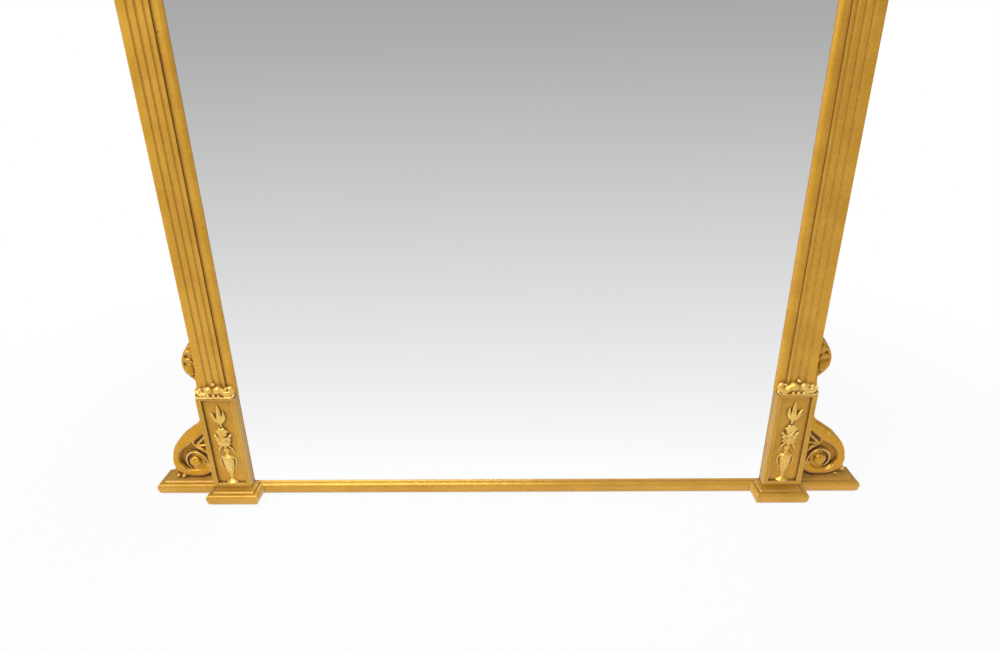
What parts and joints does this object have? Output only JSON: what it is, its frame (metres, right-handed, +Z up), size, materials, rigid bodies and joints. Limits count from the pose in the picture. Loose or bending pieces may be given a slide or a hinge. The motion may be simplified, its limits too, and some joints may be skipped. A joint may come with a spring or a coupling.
{
  "type": "overmantel mirror",
  "caption": "Giltwood overmantel mirror with fluted pilasters on panelled plinths, leafy collars, scroll brackets and a moulded ledge that stands on a mantel shelf.",
  "frame": {"origin": "on the shelf under the ledge, at the middle of its length and depth", "axes": "+X to the viewer's right, +Y into the wall behind the mirror, +Z up; the glass faces -Y"},
  "size_m": [1.524, 0.1, 1.5505],
  "materials": {
    "gilt_wood": "gilded gesso, satin with rubbed high spots",
    "pine": "sawn and planed, bare",
    "beech": "turned, bare",
    "mirror_glass": "polished, silvered behind",
    "iron": "dull",
    "brass": "satin"
  },
  "bodies": {
    "root": {"pilaster_left": "gilt_wood", "pilaster_right": "gilt_wood", "sight_moulding_left": "gilt_wood", "sight_moulding_right": "gilt_wood", "plinth_block_left": "gilt_wood", "plinth_block_right": "gilt_wood", "plinth_frame_left": "gilt_wood", "plinth_frame_right": "gilt_wood", "leaf_collar_left": "gilt_wood", "leaf_collar_right": "gilt_wood", "urn_spray_left": "gilt_wood", "urn_spray_right": "gilt_wood", "scroll_bracket_left": "gilt_wood", "scroll_bracket_right": "gilt_wood", "scroll_rosette_left": "gilt_wood", "scroll_rosette_right": "gilt_wood", "base_block_left": "gilt_wood", "base_block_right": "gilt_wood", "base_wing_left": "gilt_wood", "base_wing_right": "gilt_wood", "capital_block_left": "gilt_wood", "capital_block_right": "gilt_wood", "patera_left": "gilt_wood", "patera_right": "gilt_wood", "cornice_break_left": "gilt_wood", "cornice_break_right": "gilt_wood", "sight_moulding_top": "gilt_wood", "base_rail": "gilt_wood", "frieze_board": "gilt_wood", "cornice_centre": "gilt_wood", "stile_left": "pine", "stile_right": "pine", "top_rail": "pine", "middle_rail": "pine", "bottom_rail": "pine", "glazing_blocks": "pine", "top_board": "pine", "back_board_left": "pine", "back_board_centre_left": "pine", "back_board_centre_right": "pine", "back_board_right": "pine", "joint_pegs": "beech", "bracket_dowels": "beech", "mirror_plate": "mirror_glass", "ledge_screws": "iron", "wall_plate_screws": "iron", "back_board_nails": "iron", "wall_plate_left": "brass", "wall_plate_right": "brass"}
  },
  "joints": []
}
